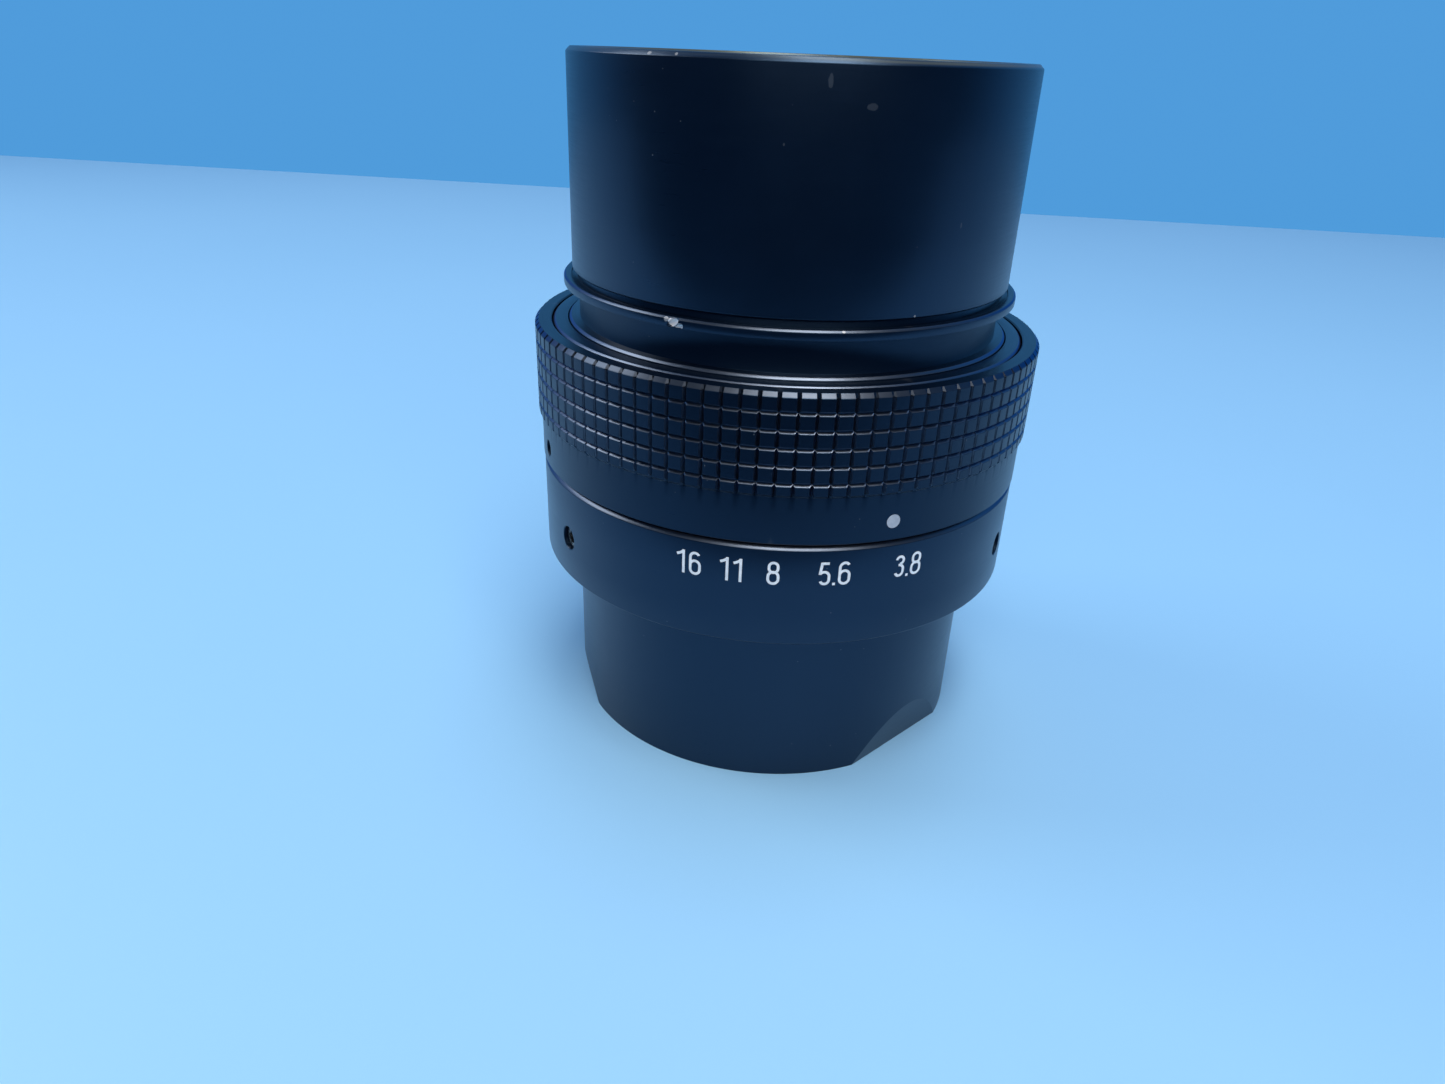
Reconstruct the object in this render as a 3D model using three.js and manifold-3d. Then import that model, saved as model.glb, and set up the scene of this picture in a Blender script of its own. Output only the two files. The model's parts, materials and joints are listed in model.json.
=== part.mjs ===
// Enlarging lens, standing on its front rim: +Z runs from the front (paper side) to the rear
// (negative side) along the optical axis. Millimetres. Azimuths are seen from above, counted
// from the -Y side, so a scale mark at azimuth 0 faces -Y and a positive azimuth lies towards +X.
//
// Fixed barrel: front tube, numbered scale ring, main barrel, mounting flange, rear barrel.
// Turning: the knurled aperture ring with the iris drive ring, and eight iris blades that follow
// its slots.
import * as THREE from 'three';
import { mergeVertices } from 'three/addons/utils/BufferGeometryUtils.js';
import Module from 'manifold-3d';

const wasm = await Module();
wasm.setup();

// ---------- driving dimensions ----------
const OUTER_SIDES = 48;
const INNER_SIDES = 32;
const GLASS_SIDES = 24;

const TOTAL_HEIGHT = 86;
const TUBE_RADIUS = 28;
const SCALE_RADIUS = 32.5;
const BAND_RADIUS = 32.6;
const KNURL_RADIUS = 33;
const NECK_RADIUS = 27.2;
const FLANGE_RADIUS = 29.1;

const SCALE_BOTTOM = 23.4;
const SCALE_TOP = 36.4;
const RING_BOTTOM = 36.75;
const KNURL_BOTTOM = 43;
const RING_TOP = 54.65;
const NECK_BOTTOM = 55;
const FLANGE_BOTTOM = 59.2;
const FLANGE_TOP = 60.3;
const BARREL_BOTTOM = 61;
const SPIGOT_RADIUS = 26.45;
const SPIGOT_TOP = 65;

const CELL_RADIUS = 24.5;
const CELL_BORE = 24.65;
const BODY_RADIUS = 29.4;
const BODY_BOTTOM = 25;
const BODY_TOP = 52.9;
const CHAMBER_BORE = 28.15;
const CHAMBER_FLOOR = 36.2;
const WEB_BOTTOM = 30.5;
const TUBE_SOCKET = 28.1;
const RING_BORE = 29.5;
const EDGE = 0.4;

// flats planed on the lower rim: azimuth, distance from the axis at the rim, lean outwards
const RIM_FLATS = [
  { azimuth: 51.3, reach: 25.9 },
  { azimuth: -71.5, reach: 27.1 },
  { azimuth: 170, reach: 26.5 },
];
const RIM_FLAT_LEAN = 12.7;

// scale marks: where each f-number stands on the scale ring
const STOP_AZIMUTHS = { '3.8': 30.1, '5.6': 13.3, '8': 0.85, '11': -7.4, '16': -16.5 };
const DOT_AZIMUTH = 25;
const WIDE_OPEN = STOP_AZIMUTHS['3.8'];
const FULLY_CLOSED = STOP_AZIMUTHS['16'];

const SCALE_SCREW_AZIMUTHS = [-53.4, 66.6, 186.6];
const SCALE_SCREW_Z = 29.1;
const SCALE_SCREW = { radius: 1.5, hole: 1.6, head: 31.7, tip: 29.55, socket: 0.87, socketDepth: 1.2 };
const RING_SCREW_AZIMUTHS = [-65, 115];
const RING_SCREW_Z = 39.2;
const RING_SCREW = {
  radius: 1, hole: 1.06, head: 32.1, tip: 29.65, socket: 0.52, socketDepth: 1.2,
  dogRadius: 0.75, dogEnd: 27.4,
};

const KNURL_COUNT = 100;
const KNURL_DEPTH = KNURL_RADIUS - BAND_RADIUS;
const KNURL_GROOVE_SHARE = 0.23;

const BLADE_COUNT = 8;
const BLADE_RATIO = 0.6;
const BLADE_THICKNESS = 0.2;
const BLADE_PITCH = 0.38;
const FIRST_BLADE_Z = 41;
const BLADE_INNER = 14.2;
const BLADE_OUTER = 21.2;
const BLADE_SWEEP = 118;
const PIVOT_RADIUS = 22.5;
const PIN_ARM = 6;
const PIN_RADIUS = 0.6;
const PIN_CLEARANCE = 0.12;
const BLADE_PHASE = 10;
const DRIVE_RING = { inner: 20.5, outer: 27.9, bottom: 38.2, thickness: 2 };
const BASE_PLATE = { inner: 14.6, outer: 28, bottom: 44.2, thickness: 1 };

const DETENT = { azimuth: 150, radius: 31, hole: 0.95, holeBottom: 31.5, ball: 0.8, ballZ: 35.9 };
const DETENT_SPRING = { coil: 0.6, wire: 0.12, bottom: 31.8, top: 34.9, turns: 4 };

// ---------- finishes ----------
const BLACK_SATIN = { color: 0x17191c, roughness: 0.5, metalness: 0.6 };
const BLACK_MATT = { color: 0x0c0d0e, roughness: 0.85, metalness: 0.2 };
const BLADE_STEEL = { color: 0x1b1c1e, roughness: 0.45, metalness: 0.8 };
const BRASS = { color: 0xb08d4a, roughness: 0.35, metalness: 1 };
const STEEL = { color: 0x8d9196, roughness: 0.3, metalness: 1 };
const GLASS = { color: 0x9fb7c4, roughness: 0.05, metalness: 0, transparent: true, opacity: 0.35 };

// ---------- solid tools ----------
const radians = THREE.MathUtils.degToRad;
const angleOf = (azimuth) => radians(azimuth - 90);
const polar = (radius, angle) => new THREE.Vector2(radius * Math.cos(angle), radius * Math.sin(angle));

// shared corners, no empty triangles, faces outwards
function closedGeometry(geometry) {
  const bare = geometry.index ? geometry.toNonIndexed() : geometry.clone();
  for (const name of Object.keys(bare.attributes)) {
    if (name !== 'position') bare.deleteAttribute(name);
  }
  const merged = mergeVertices(bare, 1e-4);
  const corners = merged.attributes.position;
  const indices = [];
  let volume = 0;
  const [a, b, c] = [new THREE.Vector3(), new THREE.Vector3(), new THREE.Vector3()];
  for (let i = 0; i < merged.index.count; i += 3) {
    const triangle = [0, 1, 2].map((k) => merged.index.getX(i + k));
    if (new Set(triangle).size < 3) continue;
    indices.push(...triangle);
    a.fromBufferAttribute(corners, triangle[0]);
    b.fromBufferAttribute(corners, triangle[1]);
    c.fromBufferAttribute(corners, triangle[2]);
    volume += a.dot(b.cross(c));
  }
  if (volume < 0) indices.reverse();
  merged.setIndex(indices);
  return merged;
}

function toSolid(geometry) {
  const closed = closedGeometry(geometry);
  return new wasm.Manifold(new wasm.Mesh({
    numProp: 3,
    vertProperties: new Float32Array(closed.attributes.position.array),
    triVerts: new Uint32Array(closed.index.array),
  }));
}

function toGeometry(solid) {
  const mesh = solid.getMesh();
  const geometry = new THREE.BufferGeometry();
  geometry.setAttribute('position', new THREE.BufferAttribute(mesh.vertProperties, 3));
  geometry.setIndex(new THREE.BufferAttribute(mesh.triVerts, 1));
  return geometry;
}

function joined(base, ...others) {
  return toGeometry(others.reduce((solid, other) => solid.add(toSolid(other)), toSolid(base)));
}

function cut(base, ...tools) {
  return toGeometry(tools.reduce((solid, tool) => solid.subtract(toSolid(tool)), toSolid(base)));
}

// ring turned about +Z from a closed outline of [radius, z] pairs
function turned(outline, sides = OUTER_SIDES) {
  const profile = [...outline, outline[0]].map(([radius, z]) => new THREE.Vector2(radius, z));
  return new THREE.LatheGeometry(profile, sides).rotateX(Math.PI / 2);
}

// solid of revolution from an open outline that starts and ends on the axis
function turnedSolid(outline, sides) {
  const profile = outline.map(([radius, z]) => new THREE.Vector2(radius, z));
  return new THREE.LatheGeometry(profile, sides).rotateX(Math.PI / 2);
}

function plate(shape, bottom, thickness, curveSegments = 12) {
  const options = { depth: thickness, bevelEnabled: false, curveSegments };
  return new THREE.ExtrudeGeometry(shape, options).translate(0, 0, bottom);
}

// cylinder between two radii, pointing outwards at an azimuth
function radialPin(radius, from, to, z, azimuth, sides = 12) {
  return new THREE.CylinderGeometry(radius, radius, to - from, sides)
    .rotateZ(Math.PI / 2)
    .translate((from + to) / 2, 0, z)
    .rotateZ(angleOf(azimuth));
}

function uprightPin(radius, x, y, bottom, top, sides = 10) {
  return new THREE.CylinderGeometry(radius, radius, top - bottom, sides)
    .rotateX(Math.PI / 2)
    .translate(x, y, (bottom + top) / 2);
}

function ringSector(inner, outer, fromAzimuth, toAzimuth) {
  const sector = new THREE.Shape();
  sector.absarc(0, 0, outer, angleOf(fromAzimuth), angleOf(toAzimuth), false);
  sector.absarc(0, 0, inner, angleOf(toAzimuth), angleOf(fromAzimuth), true);
  return sector;
}

function piece(name, geometry, finish) {
  const mesh = new THREE.Mesh(closedGeometry(geometry), new THREE.MeshStandardMaterial(finish));
  mesh.name = name;
  return mesh;
}

// ---------- barrel ----------
function frontTube() {
  const wall = turned([
    [CELL_BORE + EDGE, 0], [TUBE_RADIUS - 0.15, 0], [TUBE_RADIUS, 0.15],
    [TUBE_RADIUS, WEB_BOTTOM - 0.1], [CELL_BORE, WEB_BOTTOM - 0.1], [CELL_BORE, EDGE],
  ]);
  const block = 30;
  const flats = RIM_FLATS.map(({ azimuth, reach }) => new THREE.BoxGeometry(block, 2 * block, 2 * block)
    .translate(block / 2, 0, 0)
    .rotateY(radians(RIM_FLAT_LEAN))
    .translate(reach, 0, 0)
    .rotateZ(angleOf(azimuth)));
  return piece('front_tube', cut(wall, ...flats), BLACK_SATIN);
}

function scaleRing() {
  const lip = BODY_BOTTOM - 0.1;
  const bore = BODY_RADIUS + 0.15;
  const wall = turned([
    [TUBE_RADIUS + 0.15, SCALE_BOTTOM], [SCALE_RADIUS - 0.15, SCALE_BOTTOM], [SCALE_RADIUS, SCALE_BOTTOM + 0.15],
    [SCALE_RADIUS, SCALE_TOP - EDGE], [SCALE_RADIUS - EDGE, SCALE_TOP], [bore, SCALE_TOP],
    [bore, lip], [TUBE_RADIUS + 0.15, lip],
  ]);
  const screwHoles = SCALE_SCREW_AZIMUTHS.map((azimuth) =>
    radialPin(SCALE_SCREW.hole, bore - 1, SCALE_RADIUS + 1, SCALE_SCREW_Z, azimuth));
  const seat = polar(DETENT.radius, angleOf(DETENT.azimuth));
  const detentHole = uprightPin(DETENT.hole, seat.x, seat.y, DETENT.holeBottom, SCALE_TOP + 1);
  return piece('scale_ring', cut(wall, ...screwHoles, detentHole), BLACK_SATIN);
}

function mainBarrel() {
  const wall = turned([
    [TUBE_SOCKET, BODY_BOTTOM], [BODY_RADIUS, BODY_BOTTOM], [BODY_RADIUS, BODY_TOP], [CHAMBER_BORE, BODY_TOP],
    [CHAMBER_BORE, CHAMBER_FLOOR], [CELL_BORE, CHAMBER_FLOOR], [CELL_BORE, WEB_BOTTOM], [TUBE_SOCKET, WEB_BOTTOM],
  ]);
  const windowHalfHeight = RING_SCREW.dogRadius + 0.2;
  const margin = 4;
  const windows = RING_SCREW_AZIMUTHS.map((azimuth) => plate(
    ringSector(
      CHAMBER_BORE - 1, BODY_RADIUS + 1,
      azimuth + FULLY_CLOSED - DOT_AZIMUTH - margin, azimuth + WIDE_OPEN - DOT_AZIMUTH + margin,
    ),
    RING_SCREW_Z - windowHalfHeight, 2 * windowHalfHeight,
  ));
  return piece('main_barrel', cut(wall, ...windows), BLACK_MATT);
}

function shoulderRing() {
  const inner = 28.75;
  const outer = 30.65;
  return piece('shoulder_ring', turned([
    [inner, BODY_TOP + 0.1], [outer, BODY_TOP + 0.1], [outer, RING_TOP - 0.15], [outer - 0.15, RING_TOP],
    [inner, RING_TOP],
  ]), BLACK_SATIN);
}

function mountFlange() {
  const footBottom = BASE_PLATE.bottom + BASE_PLATE.thickness + 0.2;
  const footRadius = 28.6;
  const seatInner = TUBE_RADIUS + 0.1;
  const relief = 27.4;
  const reliefFloor = FLANGE_TOP - 0.25;
  const lipEdge = 0.25;
  return piece('mount_flange', turned([
    [CELL_BORE, footBottom], [CHAMBER_BORE - 0.1, footBottom], [CHAMBER_BORE - 0.1, BODY_TOP + 0.1],
    [footRadius, BODY_TOP + 0.1], [footRadius, RING_TOP + 0.05], [footRadius - 0.3, NECK_BOTTOM],
    [NECK_RADIUS, NECK_BOTTOM], [NECK_RADIUS, FLANGE_BOTTOM], [FLANGE_RADIUS, FLANGE_BOTTOM],
    [FLANGE_RADIUS, FLANGE_TOP - lipEdge], [FLANGE_RADIUS - lipEdge, FLANGE_TOP], [seatInner, FLANGE_TOP],
    [seatInner, reliefFloor], [relief, reliefFloor], [relief, BARREL_BOTTOM - 0.1],
    [SPIGOT_RADIUS, BARREL_BOTTOM - 0.1], [SPIGOT_RADIUS, SPIGOT_TOP], [CELL_BORE, SPIGOT_TOP],
  ]), BLACK_SATIN);
}

function rearBarrel() {
  const socket = SPIGOT_RADIUS + 0.15;
  const socketTop = SPIGOT_TOP + 0.2;
  const recess = 25.6;
  const recessFloor = 72.1;
  return piece('rear_barrel', turned([
    [socket, BARREL_BOTTOM], [TUBE_RADIUS - 0.15, BARREL_BOTTOM], [TUBE_RADIUS, BARREL_BOTTOM + 0.15],
    [TUBE_RADIUS, TOTAL_HEIGHT - 0.5], [TUBE_RADIUS - 0.5, TOTAL_HEIGHT], [recess + 0.5, TOTAL_HEIGHT],
    [recess, TOTAL_HEIGHT - 0.8], [recess, recessFloor], [CELL_BORE, recessFloor], [CELL_BORE, socketTop],
    [socket, socketTop],
  ]), BLACK_SATIN);
}

// ---------- optics: each half is bent around the iris, so one half mirrors the other ----------
const RIM_DOUBLET = 19.5;
const RIM_SINGLET = 22;
const SEAT_DOUBLET = 19.65;
const SEAT_SINGLET = 22.15;
const SPACER_BORE = 18.6;

// depth of a spherical surface of a given radius of curvature, measured at a height above the axis
const sag = (curvature, height) => curvature - Math.sqrt(curvature * curvature - height * height);

// meniscus seen from outside inwards; distances run towards the iris from the outer vertex
function meniscus(rim, outerCurve, innerCurve, thickness, flatFrom = rim) {
  const steps = 3;
  const outline = [];
  for (let i = 0; i <= steps; i += 1) {
    const height = (rim * i) / steps;
    outline.push([height, sag(outerCurve, height)]);
  }
  if (flatFrom < rim) outline.push([rim, thickness + sag(innerCurve, flatFrom)]);
  for (let i = steps; i >= 0; i -= 1) {
    const height = (flatFrom * i) / steps;
    outline.push([height, thickness + sag(innerCurve, height)]);
  }
  return outline;
}

const ELEMENTS = [
  { name: 'element', vertex: 0, outline: meniscus(RIM_SINGLET, 52, 160, 7) },
  { name: 'doublet_outer', vertex: 8.1, outline: meniscus(RIM_DOUBLET, 33, 150, 7.9) },
  { name: 'doublet_inner', vertex: 16.05, outline: meniscus(RIM_DOUBLET, 150, 20, 2.75, 15.5) },
];
const CELL = [
  [SEAT_SINGLET, 0.6], [CELL_RADIUS - 0.3, 0.6], [CELL_RADIUS, 0.9], [CELL_RADIUS, 27.4], [16.2, 27.4],
  [16.2, 26.4], [SEAT_DOUBLET, 26.4], [SEAT_DOUBLET, 14.1], [SEAT_SINGLET, 14.1],
];
const SPACER = [[SPACER_BORE, 8.6], [RIM_SINGLET, 8.6], [RIM_SINGLET, 13.7], [SPACER_BORE, 13.7]];
const RETAINER = [[20.2, 1.7], [22.05, 1.7], [22.05, 4.7], [20.2, 3.9]];
const FRONT_VERTEX = 8.5;
const REAR_VERTEX = 72.7;

// end: +1 for the front half, whose depths run up, and -1 for the rear half, whose depths run down
function opticalHalf(prefix, vertex, end) {
  const placed = (outline, offset = 0) => outline.map(([radius, depth]) => [radius, vertex + end * (depth + offset)]);
  const slots = [0, 180].map((azimuth) => new THREE.BoxGeometry(4, 1.4, 1.2)
    .translate(21.4, 0, vertex + end * 2)
    .rotateZ(angleOf(azimuth)));
  return [
    piece(`${prefix}_cell`, turned(placed(CELL), INNER_SIDES), BLACK_MATT),
    piece(`${prefix}_spacer`, turned(placed(SPACER), INNER_SIDES), BLACK_MATT),
    piece(`${prefix}_retaining_ring`, cut(turned(placed(RETAINER), INNER_SIDES), ...slots), BLACK_SATIN),
    ...ELEMENTS.map(({ name, vertex: offset, outline }) =>
      piece(`${prefix}_${name}`, turnedSolid(placed(outline, offset), GLASS_SIDES), GLASS)),
  ];
}

// ---------- aperture ring ----------
function knurledSleeve() {
  const pitch = (2 * Math.PI) / KNURL_COUNT;
  const outline = [];
  for (let i = 0; i < KNURL_COUNT; i += 1) {
    const groove = i * pitch;
    const halfGroove = (pitch * KNURL_GROOVE_SHARE) / 2;
    outline.push(polar(KNURL_RADIUS - KNURL_DEPTH, groove));
    outline.push(polar(KNURL_RADIUS, groove + halfGroove));
    outline.push(polar(KNURL_RADIUS, groove + pitch - halfGroove));
  }
  const sleeve = new THREE.Shape(outline);
  const bore = new THREE.Path();
  bore.absarc(0, 0, BODY_RADIUS + 2, 0, 2 * Math.PI, true);
  sleeve.holes.push(bore);
  const runOut = KNURL_BOTTOM - KNURL_DEPTH;
  const spare = 1;
  const envelope = turnedSolid([
    [0, runOut], [BAND_RADIUS, runOut], [KNURL_RADIUS + spare, KNURL_BOTTOM + spare],
    [KNURL_RADIUS + spare, RING_TOP - EDGE - spare], [KNURL_RADIUS - EDGE, RING_TOP], [0, RING_TOP],
  ], OUTER_SIDES);
  const blank = toSolid(plate(sleeve, runOut, RING_TOP - runOut, OUTER_SIDES / 2));
  return toGeometry(blank.intersect(toSolid(envelope)));
}

function apertureRing() {
  const counterbore = 30.85;
  const core = BAND_RADIUS - KNURL_DEPTH;
  const land = BODY_TOP - 0.3;
  const blank = turned([
    [RING_BORE, RING_BOTTOM], [BAND_RADIUS, RING_BOTTOM], [BAND_RADIUS, KNURL_BOTTOM + 0.2], [core, KNURL_BOTTOM + 0.2],
    [core, RING_TOP], [counterbore, RING_TOP], [counterbore, land], [RING_BORE, land],
  ]);
  const ring = toGeometry(toSolid(blank).add(toSolid(knurledSleeve())));
  const screwHoles = RING_SCREW_AZIMUTHS.map((azimuth) =>
    radialPin(RING_SCREW.hole, RING_BORE - 1, BAND_RADIUS + 1, RING_SCREW_Z, azimuth));
  const notches = Object.values(STOP_AZIMUTHS).map((stop) => radialPin(
    DETENT.ball, DETENT.radius - 0.9, DETENT.radius + 0.9, RING_BOTTOM - 0.45,
    DETENT.azimuth + DOT_AZIMUTH - stop, 8,
  ));
  return piece('aperture_ring', cut(ring, ...screwHoles, ...notches), BLACK_SATIN);
}

// ---------- iris ----------
const bladeTurnAt = (dotAzimuth) => radians(BLADE_RATIO * (dotAzimuth - WIDE_OPEN));
const bladeAngle = (index) => radians(BLADE_PHASE + (index * 360) / BLADE_COUNT);

// the drive pin's place, seen from the optical axis with the blade's pivot on the x axis
function drivePinAt(turn) {
  return new THREE.Vector2(PIVOT_RADIUS - PIN_ARM * Math.sin(turn), PIN_ARM * Math.cos(turn));
}

// curved slot that a drive pin follows in the ring, so ring and blade keep one constant ratio
function driveSlot(index) {
  const steps = 8;
  const over = 1;
  const halfWidth = PIN_RADIUS + PIN_CLEARANCE;
  const centreAt = (dotAzimuth) => drivePinAt(bladeTurnAt(dotAzimuth))
    .rotateAround(new THREE.Vector2(), bladeAngle(index) - radians(dotAzimuth - DOT_AZIMUTH));
  const near = [];
  const far = [];
  for (let i = 0; i <= steps; i += 1) {
    const dot = WIDE_OPEN + over + ((FULLY_CLOSED - WIDE_OPEN - 2 * over) * i) / steps;
    const centre = centreAt(dot);
    const along = centreAt(dot - 0.5).sub(centreAt(dot + 0.5)).normalize();
    const side = new THREE.Vector2(-along.y, along.x).multiplyScalar(halfWidth);
    near.push(centre.clone().add(side));
    far.unshift(centre.clone().sub(side));
    if (i === 0) far.push(centre.clone().addScaledVector(along, -halfWidth));
    if (i === steps) near.push(centre.clone().addScaledVector(along, halfWidth));
  }
  return new THREE.Path([...near, ...far]);
}

function irisDriveRing() {
  const { inner, outer, bottom, thickness } = DRIVE_RING;
  const ring = new THREE.Shape();
  ring.absarc(0, 0, outer, 0, 2 * Math.PI, false);
  const bore = new THREE.Path();
  bore.absarc(0, 0, inner, 0, 2 * Math.PI, true);
  ring.holes.push(bore);
  for (let i = 0; i < BLADE_COUNT; i += 1) ring.holes.push(driveSlot(i));
  const notches = RING_SCREW_AZIMUTHS.map((azimuth) => new THREE.BoxGeometry(2, 2 * RING_SCREW.dogRadius + 0.3, 4)
    .translate(RING_SCREW.dogEnd - 0.2 + 1, 0, RING_SCREW_Z)
    .rotateZ(angleOf(azimuth)));
  return piece('iris_drive_ring', cut(plate(ring, bottom, thickness, INNER_SIDES / 2), ...notches), BRASS);
}

function irisBasePlate() {
  const { inner, outer, bottom, thickness } = BASE_PLATE;
  const disc = new THREE.Shape();
  disc.absarc(0, 0, outer, 0, 2 * Math.PI, false);
  const opening = new THREE.Path();
  opening.absarc(0, 0, inner, 0, 2 * Math.PI, true);
  disc.holes.push(opening);
  const pivotHoles = Array.from({ length: BLADE_COUNT }, (_, i) => {
    const centre = polar(PIVOT_RADIUS, bladeAngle(i));
    return uprightPin(PIN_RADIUS + PIN_CLEARANCE, centre.x, centre.y, bottom - 1, bottom + thickness + 1);
  });
  return piece('iris_base_plate', cut(plate(disc, bottom, thickness, INNER_SIDES / 2), ...pivotHoles), BLACK_MATT);
}

function irisBearingRing() {
  const floor = CHAMBER_FLOOR + 0.05;
  const top = DRIVE_RING.bottom - 0.1;
  return piece('iris_bearing_ring', turned([
    [CELL_BORE, floor], [DRIVE_RING.outer, floor], [DRIVE_RING.outer, top], [CELL_BORE, top],
  ], INNER_SIDES), BRASS);
}

// sickle-shaped leaf with its pivot at the origin and the optical axis at (-PIVOT_RADIUS, 0)
function bladeOutline() {
  const pivotEar = 1.5;
  const pinEar = 1.3;
  const leaf = new THREE.Shape();
  leaf.absarc(-PIVOT_RADIUS, 0, BLADE_OUTER, radians(-BLADE_SWEEP), radians(-7), false);
  leaf.absarc(0, 0, pivotEar, radians(-100), radians(-10), false);
  leaf.absarc(0, PIN_ARM, pinEar, 0, Math.PI, false);
  leaf.lineTo(-pinEar, pivotEar);
  leaf.absarc(-PIVOT_RADIUS, 0, BLADE_INNER, radians(3), radians(-BLADE_SWEEP + 4), true);
  return leaf;
}

function irisBlade(index) {
  const z = FIRST_BLADE_Z + index * BLADE_PITCH;
  const pivotTop = BASE_PLATE.bottom + BASE_PLATE.thickness - 0.2 - z;
  const driveBottom = DRIVE_RING.bottom + 0.3 - z;
  const inside = BLADE_THICKNESS / 2;
  const leaf = joined(
    plate(bladeOutline(), 0, BLADE_THICKNESS, 5),
    uprightPin(PIN_RADIUS, 0, 0, inside, pivotTop, 8),
    uprightPin(PIN_RADIUS, 0, PIN_ARM, driveBottom, inside, 8),
  );
  const blade = piece(`iris_blade_${index + 1}`, leaf, BLADE_STEEL);
  blade.position.set(PIVOT_RADIUS, 0, z);
  blade.rotation.z = bladeTurnAt(DOT_AZIMUTH);
  const place = new THREE.Group();
  place.rotation.z = bladeAngle(index);
  place.add(blade);
  return place;
}

// ---------- fasteners and click stop ----------
// lies along +X with its socket end outermost
function setScrew(screw, z) {
  const { radius, head, tip, socket, socketDepth, dogRadius, dogEnd } = screw;
  const cone = 0.25;
  const nose = dogEnd === undefined
    ? [[0, tip], [radius - cone, tip]]
    : [[0, dogEnd], [dogRadius, dogEnd], [dogRadius, tip], [radius - cone, tip]];
  const shank = turnedSolid([...nose, [radius, tip + cone], [radius, head - cone], [radius - cone, head], [0, head]], 12);
  const key = new THREE.CylinderGeometry(socket, socket, 2 * socketDepth, 6).rotateX(Math.PI / 2).translate(0, 0, head);
  return cut(shank, key).rotateY(Math.PI / 2).translate(0, 0, z);
}

function screws(prefix, screw, z, azimuths) {
  return azimuths.map((azimuth, i) => {
    const mesh = piece(`${prefix}_${i + 1}`, setScrew(screw, z), STEEL);
    mesh.rotation.z = angleOf(azimuth);
    return mesh;
  });
}

function detentBall() {
  const ball = piece('detent_ball', new THREE.SphereGeometry(DETENT.ball, 10, 6), STEEL);
  const seat = polar(DETENT.radius, angleOf(DETENT.azimuth));
  ball.position.set(seat.x, seat.y, DETENT.ballZ);
  return ball;
}

class Helix extends THREE.Curve {
  getPoint(t) {
    const { coil, bottom, top, turns } = DETENT_SPRING;
    const angle = 2 * Math.PI * turns * t;
    return new THREE.Vector3(coil * Math.cos(angle), coil * Math.sin(angle), THREE.MathUtils.lerp(bottom, top, t));
  }
}

function detentSpring() {
  const section = new THREE.Shape();
  section.absarc(0, 0, DETENT_SPRING.wire, 0, 2 * Math.PI, false);
  const wire = new THREE.ExtrudeGeometry(section, {
    steps: DETENT_SPRING.turns * 8, extrudePath: new Helix(), curveSegments: 2, bevelEnabled: false,
  });
  const spring = piece('detent_spring', wire, STEEL);
  const seat = polar(DETENT.radius, angleOf(DETENT.azimuth));
  spring.position.set(seat.x, seat.y, 0);
  return spring;
}

// ---------- assembly ----------
const barrel = new THREE.Group();
barrel.add(frontTube(), scaleRing(), mainBarrel(), shoulderRing(), mountFlange(), rearBarrel());
barrel.add(...screws('scale_screw', SCALE_SCREW, SCALE_SCREW_Z, SCALE_SCREW_AZIMUTHS));
barrel.add(detentBall(), detentSpring());

const optics = new THREE.Group();
optics.add(...opticalHalf('front', FRONT_VERTEX, 1), ...opticalHalf('rear', REAR_VERTEX, -1));

const apertureControl = new THREE.Group();
apertureControl.add(apertureRing(), irisDriveRing());
apertureControl.add(...screws('ring_screw', RING_SCREW, RING_SCREW_Z, RING_SCREW_AZIMUTHS));

const iris = new THREE.Group();
iris.add(irisBasePlate(), irisBearingRing());
for (let i = 0; i < BLADE_COUNT; i += 1) iris.add(irisBlade(i));

const lens = new THREE.Group();
lens.add(barrel, optics, apertureControl, iris);

export default lens;
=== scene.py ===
"""Enlarging lens: the turned shells, the knurl, the painted scale, the glass and their finishes.

Metres, +Z up the optical axis. Azimuths are counted from the -Y side, positive towards +X.
"""
import json
import math

import bmesh
import bpy
from mathutils import Matrix, Vector


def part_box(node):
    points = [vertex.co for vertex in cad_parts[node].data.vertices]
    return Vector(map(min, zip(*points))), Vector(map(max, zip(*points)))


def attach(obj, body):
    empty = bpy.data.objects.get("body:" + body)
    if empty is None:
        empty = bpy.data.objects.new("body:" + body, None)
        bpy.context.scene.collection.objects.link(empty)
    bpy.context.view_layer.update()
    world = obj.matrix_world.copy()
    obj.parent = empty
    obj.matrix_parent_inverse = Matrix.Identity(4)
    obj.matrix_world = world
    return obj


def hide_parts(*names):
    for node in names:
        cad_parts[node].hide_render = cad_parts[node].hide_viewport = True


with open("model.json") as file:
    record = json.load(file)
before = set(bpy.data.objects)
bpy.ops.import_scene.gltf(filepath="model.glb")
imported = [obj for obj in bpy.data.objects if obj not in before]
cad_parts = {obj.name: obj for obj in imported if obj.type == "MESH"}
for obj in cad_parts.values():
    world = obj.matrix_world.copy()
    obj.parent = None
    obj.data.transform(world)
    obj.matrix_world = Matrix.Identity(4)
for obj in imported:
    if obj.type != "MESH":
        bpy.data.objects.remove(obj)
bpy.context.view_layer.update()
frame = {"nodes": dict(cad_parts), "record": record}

MM = 0.001
FINE = 256


# ---------- places read from the frame ----------
def low(node):
    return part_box(node)[0].z


def high(node):
    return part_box(node)[1].z


def radius_of(node):
    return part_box(node)[1].x


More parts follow.
